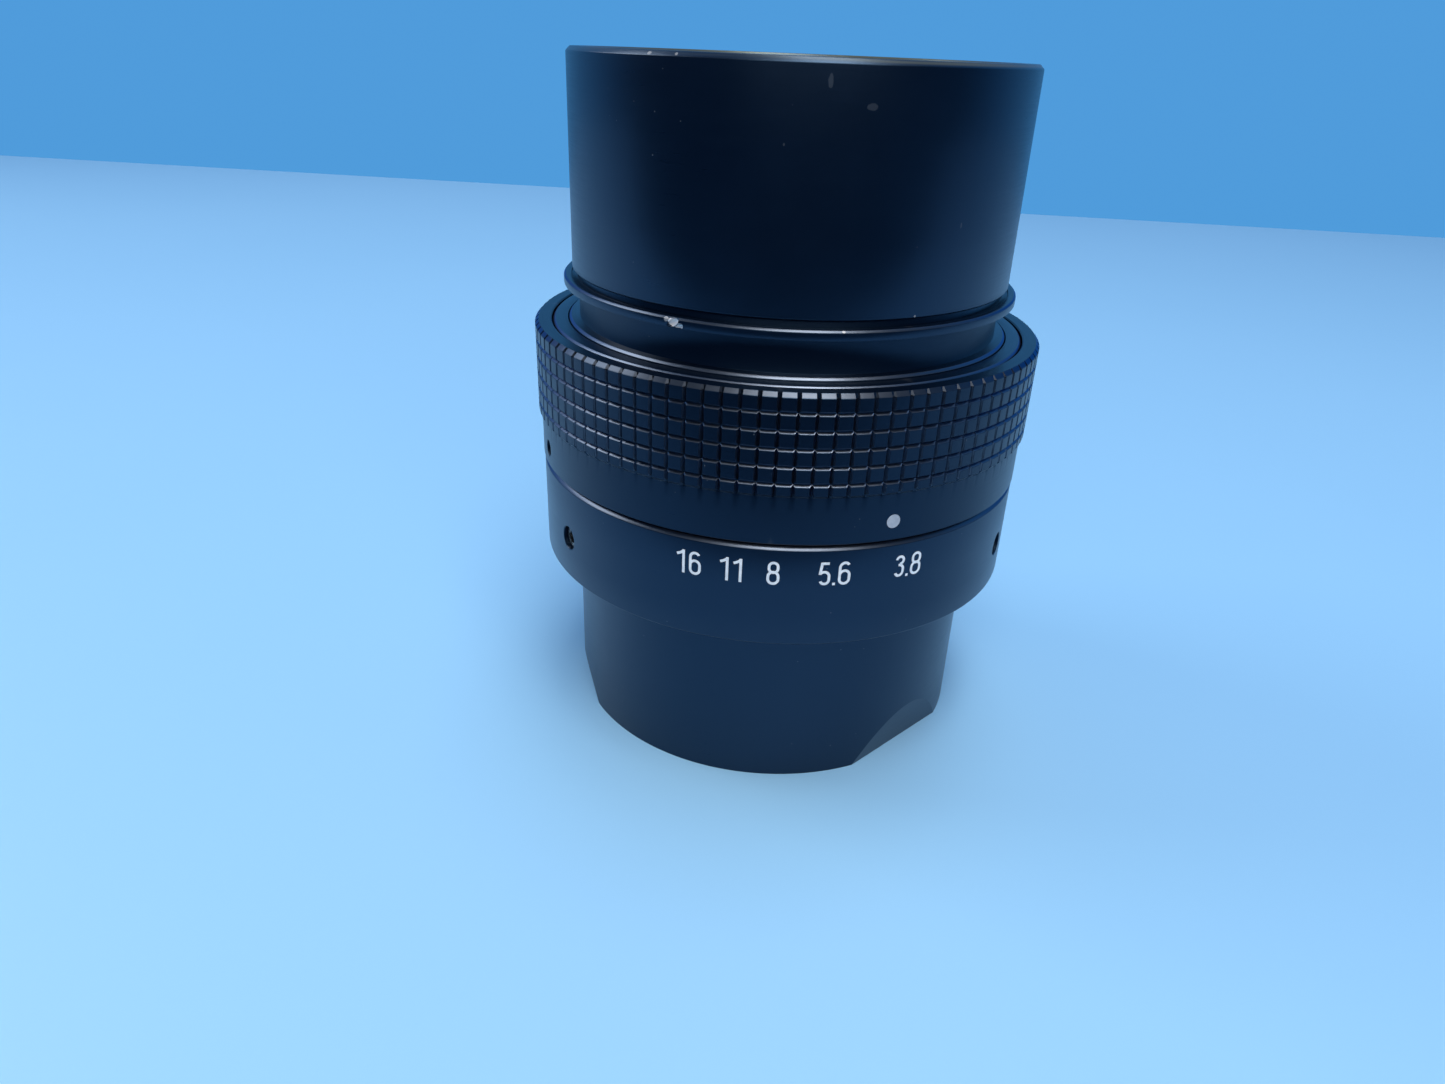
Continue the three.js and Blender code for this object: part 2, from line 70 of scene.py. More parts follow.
TUBE = radius_of("front_tube")
SCALE = radius_of("scale_ring")
KNURL = radius_of("aperture_ring")
FLANGE = radius_of("mount_flange")
CELL = radius_of("front_cell")
TOP = high("rear_barrel")
CELL_BORE = CELL + 0.15 * MM
BODY = radius_of("main_barrel")
RING_BORE = BODY + 0.1 * MM

SCALE_LOW = low("scale_ring")
SCALE_HIGH = high("scale_ring")
RING_LOW = low("aperture_ring")
RING_HIGH = high("aperture_ring")
BODY_HIGH = high("main_barrel")
SPIGOT = 26.45 * MM
FOOT = 28.6 * MM
BARREL_LOW = low("rear_barrel")
FLANGE_HIGH = BARREL_LOW - 0.7 * MM
FLANGE_THICK = 1.1 * MM
FOOT_HIGH = RING_HIGH + 0.35 * MM
SHOULDER_EDGE = radius_of("shoulder_ring")
SHOULDER_HIGH = high("shoulder_ring")

DOT_AZIMUTH = 25.0
SCALE_MARKS = {"16": -16.55, "11": -7.6, "8": 0.98, "5.6": 13.5, "3.8": 30.1}


def azimuth_of(node):
    """Azimuth of a small piece, from the middle of its CAD box."""
    a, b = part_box(node)
    return math.degrees(math.atan2(a.y + b.y, a.x + b.x)) + 90


def around(radius, azimuth, z=0.0):
    angle = math.radians(azimuth - 90)
    return Vector((radius * math.cos(angle), radius * math.sin(angle), z))


def turned(azimuth):
    """The turn about the optical axis that brings +X to an azimuth."""
    return Matrix.Rotation(math.radians(azimuth - 90), 4, "Z")


# ---------- modelling by hand ----------
def start():
    if bpy.context.object and bpy.context.object.mode != "OBJECT":
        bpy.ops.object.mode_set(mode="OBJECT")
    bpy.ops.object.select_all(action="DESELECT")


def edit(piece):
    start()
    bpy.context.view_layer.objects.active = piece
    piece.select_set(True)
    bpy.ops.object.mode_set(mode="EDIT")


def pick(piece, test, kind="VERT"):
    """Selects what passes the test, in edit mode."""
    bpy.ops.mesh.select_mode(type=kind)
    bpy.ops.mesh.select_all(action="DESELECT")
    mesh = bmesh.from_edit_mesh(piece.data)
    parts = {"VERT": mesh.verts, "EDGE": mesh.edges, "FACE": mesh.faces}[kind]
    for part in parts:
        if test(part):
            part.select_set(True)
    mesh.select_flush_mode()
    bmesh.update_edit_mesh(piece.data)


def named(name):
    piece = bpy.context.object
    piece.name = name
    piece.data.name = name
    return piece


def settle(piece):
    """Puts the piece's place into its mesh."""
    start()
    bpy.context.view_layer.objects.active = piece
    piece.select_set(True)
    bpy.ops.object.transform_apply(location=True, rotation=True, scale=True)
    return piece


def modify(piece, kind, **settings):
    start()
    bpy.context.view_layer.objects.active = piece
    piece.select_set(True)
    modifier = piece.modifiers.new(kind.title(), kind)
    for key, value in settings.items():
        setattr(modifier, key, value)
    bpy.ops.object.modifier_apply(modifier=modifier.name)
    return piece


def soften(piece, width, segments=2, angle=25):
    return modify(piece, "BEVEL", width=width, segments=segments, limit_method="ANGLE",
                  angle_limit=math.radians(angle), use_clamp_overlap=True)


def smooth(piece, angle=28):
    start()
    bpy.context.view_layer.objects.active = piece
    piece.select_set(True)
    bpy.ops.object.shade_smooth_by_angle(angle=math.radians(angle))
    return piece


def draw_out(outline):
    """Extrudes the selected loop or cap through the outline's [radius, height] points."""
    for (r0, z0), (r1, z1) in zip(outline, outline[1:]):
        bpy.ops.mesh.extrude_region_move(TRANSFORM_OT_translate={"value": (0, 0, z1 - z0)})
        if r1 != r0:
            bpy.ops.transform.resize(value=(r1 / r0, r1 / r0, 1), center_override=(0, 0, z1))


def turn_ring(name, outline, sides=FINE):
    """A hollow turned piece: one loop drawn through a closed outline and bridged to its start."""
    start()
    bpy.ops.mesh.primitive_circle_add(vertices=sides, radius=outline[0][0], fill_type="NOTHING",
                                      location=(0, 0, outline[0][1]))
    piece = settle(named(name))
    edit(piece)
    bpy.ops.mesh.select_all(action="SELECT")
    draw_out(outline)
    pick(piece, lambda edge: edge.is_boundary, "EDGE")
    bpy.ops.mesh.bridge_edge_loops()
    bpy.ops.mesh.select_all(action="SELECT")
    bpy.ops.mesh.normals_make_consistent(inside=False)
    start()
    return piece


def turn_solid(name, outline, sides=FINE):
    """A solid turned piece: a small filled circle drawn through an outline from end to end."""
    start()
    bpy.ops.mesh.primitive_circle_add(vertices=sides, radius=outline[0][0], fill_type="TRIFAN",
                                      location=(0, 0, outline[0][1]))
    piece = settle(named(name))
    edit(piece)
    bpy.ops.mesh.select_all(action="SELECT")
    draw_out(outline)
    bpy.ops.mesh.select_all(action="SELECT")
    bpy.ops.mesh.normals_make_consistent(inside=False)
    start()
    return piece


def point_out(piece, azimuth, z):
    """Lays a piece made along +Z down, so that it points outwards at an azimuth and a height."""
    lie_down = Matrix.Rotation(math.pi / 2, 4, "Y")
    piece.data.transform(Matrix.Translation((0, 0, z)) @ turned(azimuth) @ lie_down)
    return piece


def carve(piece, cutter):
    modify(piece, "BOOLEAN", operation="DIFFERENCE", object=cutter, solver="EXACT")
    bpy.data.objects.remove(cutter)
    return piece


def put(piece, body, slot, finish, *nodes):
    piece.data.materials.clear()
    piece.data.materials.append(finish)
    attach(piece, body)
    if nodes:
        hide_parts(*nodes)
    return piece


# ---------- finishes ----------
class Value:
    """A socket that takes part in arithmetic: each operator adds its Math node."""

    def __init__(self, finish, socket):
        self.finish = finish
        self.socket = socket

    def math(self, operation, a, b):
        return self.finish.node("ShaderNodeMath", {"operation": operation}, {0: a, 1: b})

    def __add__(self, other):
        return self.math("ADD", self, other)

    def __radd__(self, other):
        return self.math("ADD", other, self)

    def __sub__(self, other):
        return self.math("SUBTRACT", self, other)

    def __rsub__(self, other):
        return self.math("SUBTRACT", other, self)

    def __mul__(self, other):
        return self.math("MULTIPLY", self, other)

    def __rmul__(self, other):
        return self.math("MULTIPLY", other, self)

    def __pow__(self, other):
        return self.math("POWER", self, other)

    def maximum(self, other):
        return self.math("MAXIMUM", self, other)


class Finish:
    """A Principled material and the nodes that vary it over the surface."""

    def __init__(self, name, **constants):
        self.material = bpy.data.materials.new(name)
        self.material.use_nodes = True
        self.tree = self.material.node_tree
        self.shader = self.tree.nodes["Principled BSDF"]
        for socket, value in constants.items():
            self.shader.inputs[socket.replace("_", " ")].default_value = value
        self.place = self.node("ShaderNodeTexCoord", output="Object")

    def node(self, kind, settings=None, inputs=None, output=0):
        made = self.tree.nodes.new(kind)
        for key, value in (settings or {}).items():
            setattr(made, key, value)
        for key, value in (inputs or {}).items():
            self.feed(made.inputs[key], value)
        return Value(self, made.outputs[output])

    def feed(self, socket, value):
        if isinstance(value, Value):
            self.tree.links.new(value.socket, socket)
        else:
            socket.default_value = value

    def set(self, **inputs):
        for key, value in inputs.items():
            self.feed(self.shader.inputs[key.replace("_", " ")], value)
        return self.material

    def axes(self, vector):
        split = self.node("ShaderNodeSeparateXYZ", inputs={0: vector}).socket.node
        return [Value(self, split.outputs[i]) for i in range(3)]

    def vector(self, x, y, z):
        return self.node("ShaderNodeCombineXYZ", inputs={0: x, 1: y, 2: z})

    def noise(self, vector, scale, detail=2.0, roughness=0.5):
        return self.node("ShaderNodeTexNoise", inputs={
            "Vector": vector, "Scale": scale, "Detail": detail, "Roughness": roughness})

    def cells(self, vector, scale):
        """Distance to the nearest of many scattered points."""
        inputs = {"Vector": vector, "Scale": scale}
        return self.node("ShaderNodeTexVoronoi", inputs=inputs, output="Distance")

    def between(self, value, start_at, end_at):
        """A soft step from 0 at one value to 1 at the other."""
        return self.node("ShaderNodeMapRange", {"clamp": True, "interpolation_type": "SMOOTHSTEP"}, {
            "Value": value, "From Min": start_at, "From Max": end_at})

    def blend(self, amount, first, second):
        return self.node("ShaderNodeMix", {"data_type": "RGBA"}, {0: amount, 6: first, 7: second}, 2)

    def bump(self, height, strength, depth):
        return self.node("ShaderNodeBump", inputs={
            "Height": height, "Strength": strength, "Distance": depth})

    def turning(self):
        """Coordinates that run with the lathe's cut: radius, height and a slow turn round the axis."""
        x, y, z = self.axes(self.place)
        radius = (x * x + y * y) ** 0.5
        angle = self.node("ShaderNodeMath", {"operation": "ARCTAN2"}, {0: y, 1: x})
        return self.vector(radius, z, angle * 0.0012)

    def band(self, inner, outer, bottom, top):
        """A turned strip of the surface, by radius and height, 1 inside and 0 outside."""
        soft = 0.04 * MM
        x, y, z = self.axes(self.place)
        radius = (x * x + y * y) ** 0.5
        across = self.between(radius, inner, inner + soft) * self.between(radius, outer, outer - soft)
        return across * self.between(z, bottom, bottom + soft) * self.between(z, top, top - soft)

    def spot(self, centre, reach):
        """A ragged patch about a point of the piece, 1 inside and 0 outside."""
        kind = "ShaderNodeVectorMath"
        offset = self.node(kind, {"operation": "SUBTRACT"}, {0: self.place, 1: tuple(centre)})
        scaled = self.node(kind, {"operation": "DIVIDE"}, {0: offset, 1: tuple(reach)})
        far = self.node(kind, {"operation": "LENGTH"}, {0: scaled}, "Value")
        return self.between(far + (self.noise(self.place, 2500, 4) - 0.5) * 0.7, 1.0, 0.86)


def black_anodised(name="black_anodised", marks=(), rub_and_sheen_above=None, highlight_bands=(), shine=0.8):
    """Satin black anodising on turned aluminium: lathe lines, dust, thin edges, bright nicks, and a top
    rim that is partly rubbed and partly a painted sheen.

    The bands are strips of the surface on chamfers and knurl flanks, made brighter and metallic as
    painted highlights, each with its gleam first.
    """
    finish = Finish(name, IOR=1.5, Specular_IOR_Level=shine, Specular_Tint=(0.31, 0.59, 1.0, 1))
    turning = finish.turning()
    lathe = finish.noise(turning, 5200, 3, 0.6)
    broad = finish.noise(finish.place, 55, 3, 0.55)
    grain = finish.noise(finish.place, 9000, 2)
    dust = finish.between(finish.cells(finish.place, 620), 0.055, 0.03)
    dust = dust * finish.between(finish.noise(finish.place, 90, 2), 0.5, 0.62)
    worn = Value(finish, finish.node("ShaderNodeNewGeometry").socket.node.outputs["Pointiness"])
    edge = finish.between(worn + (finish.noise(finish.place, 1400, 3) - 0.5) * 0.06, 0.58, 0.72) * 0.12
    cloud = finish.between(broad, 0.35, 0.75) * 0.6
    base = finish.blend(cloud, (0.0004, 0.0021, 0.0075, 1), (0.0010, 0.0040, 0.0130, 1))
    base = finish.blend(dust * 0.5, base, (0.25, 0.26, 0.27, 1))
    base = finish.blend(edge, base, (0.16, 0.18, 0.20, 1))
    metal = edge * 0.7
    roughness = 0.31 + (broad - 0.5) * 0.12 + (lathe - 0.5) * 0.1 + dust * 0.3
    # painted sheen: a thin greenish-gold, partly metallic band at the top of the rim, broken up like a
    # rub
    if rub_and_sheen_above:
        height = finish.axes(finish.place)[2]
        rub_and_sheen = finish.between(height, rub_and_sheen_above, rub_and_sheen_above + 0.3 * MM)
        rub_and_sheen = rub_and_sheen * finish.between(finish.noise(turning, 400, 3, 0.6), 0.35, 0.6)
        base = finish.blend(rub_and_sheen * 0.7, base, (0.16, 0.17, 0.11, 1))
        metal = metal.maximum(rub_and_sheen * 0.5)
    # painted highlights: each band makes its strip brighter and metallic by its gleam
    for gleam, *strip in highlight_bands:
        painted_highlight = finish.band(*strip)
        base = finish.blend(painted_highlight, base, (0.09 * gleam, 0.112 * gleam, 0.15 * gleam, 1))
        metal = metal.maximum(painted_highlight)
    for centre, reach, strength in marks:
        nick = finish.spot(centre, reach)
        base = finish.blend(nick * strength, base, (0.72, 0.74, 0.76, 1))
        metal = metal.maximum(nick * (strength * 0.35))
        roughness = roughness + nick * 0.12
    return finish.set(Base_Color=base, Roughness=roughness, Metallic=metal,
                      Normal=finish.bump(lathe * 0.6 + grain * 0.4, 0.22, 0.00002))


def matt_black():
    """Dull black of the inner walls, with lathe lines."""
    finish = Finish("matt_black", IOR=1.45)
    lathe = finish.noise(finish.turning(), 2600, 3, 0.6)
    patch = finish.noise(finish.place, 120, 3)
    cloud = finish.between(patch, 0.3, 0.7)
    base = finish.blend(cloud, (0.004, 0.004, 0.0046, 1), (0.009, 0.0092, 0.01, 1))
    return finish.set(Base_Color=base, Roughness=0.6 + (lathe - 0.5) * 0.2,
                      Normal=finish.bump(lathe, 0.35, 0.00003))


def blade_black():
    """Blackened spring steel with a faint rubbed sheen."""
    finish = Finish("blade_black", Metallic=0.85)
    rub_and_sheen = finish.noise(finish.place, 260, 4, 0.6)
    sheen = finish.between(rub_and_sheen, 0.4, 0.7)
    base = finish.blend(sheen, (0.02, 0.021, 0.023, 1), (0.055, 0.056, 0.06, 1))
    return finish.set(Base_Color=base, Roughness=0.42 + (rub_and_sheen - 0.5) * 0.3,
                      Normal=finish.bump(rub_and_sheen, 0.1, 0.00002))


def brass():
    """Turned brass of the rings inside."""
    finish = Finish("brass", Metallic=1.0)
    lathe = finish.noise(finish.turning(), 3000, 3)
    base = finish.blend(lathe, (0.48, 0.33, 0.12, 1), (0.72, 0.55, 0.26, 1))
    return finish.set(Base_Color=base, Roughness=0.26 + lathe * 0.15,
                      Normal=finish.bump(lathe, 0.2, 0.00002))


def screw_steel():
    """Blackened screw steel, bright where the key has rubbed it."""
    finish = Finish("screw_steel", Metallic=1.0)
    wear = finish.between(finish.noise(finish.place, 2300, 4, 0.65), 0.42, 0.62)
    base = finish.blend(wear, (0.06, 0.06, 0.065, 1), (0.55, 0.53, 0.5, 1))
    return finish.set(Base_Color=base, Roughness=0.45 - wear * 0.15,
                      Normal=finish.bump(finish.noise(finish.place, 6000, 3), 0.3, 0.00003))


def bright_steel():
    """Polished steel of the click stop."""
    finish = Finish("bright_steel", Metallic=1.0)
    haze = finish.noise(finish.place, 1800, 3)
    base = finish.blend(haze, (0.5, 0.5, 0.52, 1), (0.72, 0.72, 0.74, 1))
    return finish.set(Base_Color=base, Roughness=0.18 + haze * 0.12)


def white_paint(name, worn, fresh):
    """White filling paint: a little thin and dusty, with a soft grain."""
    finish = Finish(name, IOR=1.45)
    thin = finish.between(finish.noise(finish.place, 1500, 3), 0.3, 0.75)
    base = finish.blend(thin, worn, fresh)
    return finish.set(Base_Color=base, Roughness=0.5 + thin * 0.15,
                      Normal=finish.bump(finish.noise(finish.place, 4200, 3), 0.3, 0.00003))


def coated_glass():
    """Clear glass with a thin coating that reflects faint violet."""
    finish = Finish("coated_glass", Transmission_Weight=1.0, IOR=1.52, Specular_IOR_Level=0.12,
                    Specular_Tint=(0.75, 0.62, 1.0, 1.0))
    smear = finish.between(finish.noise(finish.place, 130, 4, 0.6), 0.45, 0.8)
    base = finish.blend(smear, (0.97, 0.985, 0.98, 1), (0.90, 0.93, 0.94, 1))
    return finish.set(Base_Color=base, Roughness=smear * 0.03)


def pale_table():
    """Plain pale blue table top."""
    finish = Finish("pale_table", IOR=1.45)
    cloud = finish.noise(finish.place, 5, 3)
    base = finish.blend(cloud, (0.255, 0.51, 0.77, 1), (0.278, 0.54, 0.80, 1))
    return finish.set(Base_Color=base, Roughness=0.5)


# ---------- wear and the finishes in use ----------
def wear_at(radius, azimuth, height, across, up, strength):
    """A nick or scuff from its place and its reach in millimetres, as its centre, reach and strength."""
    centre = around(radius * MM, azimuth, height * MM)
    return centre, (across * MM, across * MM, up * MM), strength


LIP_NICKS = [
    wear_at(28.9, -24.5, 59.75, 0.72, 0.5, 1.0), wear_at(28.9, -23.1, 59.35, 0.5, 0.45, 1.0),
    wear_at(29.0, -26.2, 60.0, 0.3, 0.3, 0.4), wear_at(29.0, 12.5, 60.2, 0.2, 0.15, 0.3)]
BARREL_SCUFFS = [
    wear_at(28, 5.9, 84.0, 0.25, 0.7, 0.035), wear_at(28, 14.7, 81.85, 0.6, 0.35, 0.03),
    wear_at(28, 29.9, 61.3, 0.14, 0.14, 0.4), wear_at(27.8, -32.9, 85.7, 0.25, 0.2, 0.3),
    wear_at(27.8, -26.1, 85.75, 0.2, 0.2, 0.25), wear_at(28, -2.5, 78.2, 0.1, 0.16, 0.05),
    wear_at(28, 40, 70.5, 0.12, 0.3, 0.05), wear_at(28, 152, 77, 0.5, 0.3, 0.04),
    wear_at(28, 231, 68, 0.3, 0.6, 0.04)]
# strips painted as highlights on chamfers and knurl rows: gleam, inner and outer radius, bottom and top
SCALE_CHAMFER = (1.1, SCALE - 0.5 * MM, SCALE - 0.02 * MM, SCALE_HIGH - 0.46 * MM, SCALE_HIGH - 0.01 * MM)
SHOULDER_CHAMFER = (
    1.1, SHOULDER_EDGE - 0.3 * MM, SHOULDER_EDGE - 0.01 * MM, SHOULDER_HIGH - 0.3 * MM, SHOULDER_HIGH)
LIP_CHAMFER = (0.8, FLANGE - 0.27 * MM, FLANGE - 0.01 * MM, FLANGE_HIGH - 0.27 * MM, FLANGE_HIGH)
FOOT_CHAMFER = (1.1, FOOT - 0.32 * MM, FOOT - 0.01 * MM, FOOT_HIGH - 0.32 * MM, FOOT_HIGH)
KNURL_INSIDE = KNURL - 0.7 * MM
KNURL_SKIN = KNURL - 0.03 * MM
KNURL_ROWS = (1.2, KNURL_INSIDE, KNURL_SKIN, RING_HIGH - 11.6 * MM, RING_HIGH - 0.6 * MM)
KNURL_CHAMFER = (0.6, KNURL_INSIDE, KNURL_SKIN, RING_HIGH - 0.6 * MM, RING_HIGH - 0.01 * MM)

ANODISED = black_anodised()
# the knurl, scale, shoulder, lip and foot finishes carry painted highlight strips on their chamfers
KNURLED = black_anodised("black_anodised_knurl", shine=0.55, highlight_bands=[KNURL_ROWS, KNURL_CHAMFER])
SCALED = black_anodised("black_anodised_scale", highlight_bands=[SCALE_CHAMFER])
SHOULDER = black_anodised("black_anodised_shoulder", highlight_bands=[SHOULDER_CHAMFER])
CHIPPED = black_anodised("black_anodised_chipped", LIP_NICKS, highlight_bands=[LIP_CHAMFER, FOOT_CHAMFER])
# scuffed rear barrel, with a painted sheen on its top rim
SCUFFED_WITH_SHEEN = black_anodised("black_anodised_scuffed_sheen", BARREL_SCUFFS, TOP - 0.42 * MM)
MATT = matt_black()
BLADE = blade_black()
BRASS = brass()
SCREW = screw_steel()
BRIGHT = bright_steel()
PAINT = white_paint("white_paint", (0.78, 0.82, 0.86, 1), (0.96, 0.97, 0.98, 1))
DOT_PAINT = white_paint("dot_paint", (0.40, 0.44, 0.51, 1), (0.50, 0.54, 0.60, 1))
GLASS = coated_glass()


# ---------- fixed shells ----------
# flats planed on the lower rim: azimuth, and distance from the axis at the rim in millimetres
FLATS = ((46.8, 26.45), (-71.5, 27.1), (170.0, 26.5))
FLAT_LEAN = 12.7
# chips in the lip's edge: azimuth, drop from its top and width in millimetres, and tilt
CHIPS = ((-24.5, 0.5, 1.8, 38), (-23.1, 0.95, 1.2, 30))


def front_tube():
    top = high("front_tube")
    tube = turn_ring("front_tube_shell", [
        (CELL_BORE + 0.4 * MM, 0), (TUBE, 0), (TUBE, SCALE_LOW), (TUBE, top), (CELL_BORE, top),
        (CELL_BORE, 0.4 * MM)])
    for azimuth, reach in FLATS:
        start()
        bpy.ops.mesh.primitive_cube_add(size=60 * MM, location=(30 * MM, 0, 0))
        plane = settle(bpy.context.object)
        plane.data.transform(turned(azimuth) @ Matrix.Translation((reach * MM, 0, 0))
                             @ Matrix.Rotation(math.radians(FLAT_LEAN), 4, "Y"))
        carve(tube, plane)

    def round_a_flat(edge):
        shallow = math.radians(6) < edge.calc_face_angle(0) < math.radians(40)
        return shallow and edge.verts[0].co.z < SCALE_LOW

    edit(tube)
    pick(tube, round_a_flat, "EDGE")
    bpy.ops.mesh.bevel(offset=2.8 * MM, segments=6, affect="EDGES", clamp_overlap=True)
    start()
    soften(tube, 0.12 * MM, 3, 45)
    smooth(tube)
    modify(tube, "WEIGHTED_NORMAL", keep_sharp=True)
    return put(tube, "root", "black_anodised", ANODISED, "front_tube")


def screw_hole_cutter(radius, surface):
    """A drill with a small flare where it meets the surface."""
    flare = 0.12 * MM
    wide = radius + 2.2 * flare
    return turn_solid("drill", [
        (radius, surface - 3.4 * MM), (radius, surface - flare), (wide, surface + 1.2 * flare),
        (wide, surface + MM)], 48)


def scale_ring():
    bore = BODY + 0.15 * MM
    lip = low("main_barrel") - 0.1 * MM
    span = SCALE_HIGH - SCALE_LOW
    ring = turn_ring("scale_ring_shell", [
        (TUBE + 0.15 * MM, SCALE_LOW), (SCALE - 0.2 * MM, SCALE_LOW), (SCALE, SCALE_LOW + 0.2 * MM),
        (SCALE, SCALE_LOW + 0.3 * span), (SCALE, SCALE_LOW + 0.6 * span), (SCALE, SCALE_HIGH - 0.45 * MM),
        (SCALE - 0.45 * MM, SCALE_HIGH), (bore, SCALE_HIGH), (bore, lip), (TUBE + 0.15 * MM, lip)])
    soften(ring, 0.06 * MM)
    for index in (1, 2, 3):
        node = f"scale_screw_{index}"
        middle = (low(node) + high(node)) / 2
        carve(ring, point_out(screw_hole_cutter(1.55 * MM, SCALE), azimuth_of(node), middle))
    smooth(ring)
    return put(ring, "root", "black_anodised", SCALED, "scale_ring")


def shoulder_ring():
    bottom = low("shoulder_ring")
    inner = SHOULDER_EDGE - 1.9 * MM
    ring = turn_ring("shoulder_ring_shell", [
        (inner, bottom), (SHOULDER_EDGE, bottom), (SHOULDER_EDGE, SHOULDER_HIGH - 0.28 * MM),
        (SHOULDER_EDGE - 0.28 * MM, SHOULDER_HIGH), (inner, SHOULDER_HIGH)])
    smooth(soften(ring, 0.04 * MM))
    return put(ring, "root", "black_anodised", SHOULDER, "shoulder_ring")


def mount_flange():
    seat = BODY_HIGH + 0.1 * MM
    step = FOOT - 0.55 * MM
    neck = 27.2 * MM
    seat_inner = TUBE + 0.1 * MM
    relief = 27.4 * MM
    relief_floor = FLANGE_HIGH - 0.25 * MM
    lip_low = FLANGE_HIGH - FLANGE_THICK
    joint = BARREL_LOW - 0.1 * MM
    collar = turn_ring("mount_flange_shell", [
        (CELL_BORE, low("mount_flange")), (step, low("mount_flange")), (step, seat), (FOOT, seat),
        (FOOT, FOOT_HIGH - 0.3 * MM), (FOOT - 0.3 * MM, FOOT_HIGH), (neck, FOOT_HIGH), (neck, lip_low),
        (FLANGE, lip_low), (FLANGE, FLANGE_HIGH - 0.25 * MM), (FLANGE - 0.25 * MM, FLANGE_HIGH),
        (seat_inner, FLANGE_HIGH), (seat_inner, relief_floor), (relief, relief_floor), (relief, joint),
        (SPIGOT, joint), (SPIGOT, high("mount_flange")), (CELL_BORE, high("mount_flange"))])
    soften(collar, 0.05 * MM)
    for azimuth, drop, width, tilt in CHIPS:
        start()
        bpy.ops.mesh.primitive_ico_sphere_add(subdivisions=3, radius=0.5 * MM)
        dent = settle(bpy.context.object)
        edit(dent)
        bpy.ops.mesh.select_all(action="SELECT")
        bpy.ops.transform.vertex_random(offset=0.05 * MM, seed=3)
        start()
        dent.data.transform(Matrix.Diagonal((0.8, width, 0.75, 1)))
        dent.data.transform(Matrix.Rotation(math.radians(tilt), 4, "X"))
        dent.data.transform(Matrix.Translation((FLANGE + 0.05 * MM, 0, FLANGE_HIGH - drop * MM)))
        dent.data.transform(turned(azimuth))
        carve(collar, dent)
    smooth(collar)
    return put(collar, "root", "black_anodised", CHIPPED, "mount_flange")


def rear_barrel():
    socket = 26.6 * MM
    recess = 25.6 * MM
    floor = 72.1 * MM
    span = TOP - BARREL_LOW
    barrel = turn_ring("rear_barrel_shell", [
        (socket, BARREL_LOW), (TUBE - 0.15 * MM, BARREL_LOW), (TUBE, BARREL_LOW + 0.15 * MM),
        (TUBE, BARREL_LOW + 0.33 * span), (TUBE, BARREL_LOW + 0.66 * span), (TUBE, TOP - 0.5 * MM),
        (TUBE - 0.5 * MM, TOP), (recess + 0.5 * MM, TOP), (recess, TOP - 0.8 * MM), (recess, floor),
        (CELL_BORE, floor), (CELL_BORE, BARREL_LOW + 4.2 * MM), (socket, BARREL_LOW + 4.2 * MM)])
    smooth(soften(barrel, 0.08 * MM, 3))
    return put(barrel, "root", "black_anodised", SCUFFED_WITH_SHEEN, "rear_barrel")


# ---------- knurled aperture ring ----------
GROOVES = 100
PER_PITCH = 8
ROWS = 5
ROW_PITCH = 2.0425 * MM
ROW_DEPTH = 0.36 * MM
ROW_HALF = 0.28 * MM
GROOVE_DEPTH = 0.45 * MM
BAND = KNURL - 0.4 * MM
FIRST_ROW = RING_HIGH - 2.19 * MM


def step_in_pitch(point):
    """Which of the pitch's steps a corner stands on: 0 is the bottom of an upright groove."""
    step = math.degrees(math.atan2(point.y, point.x)) / (360 / (GROOVES * PER_PITCH))
    return round(step) % PER_PITCH


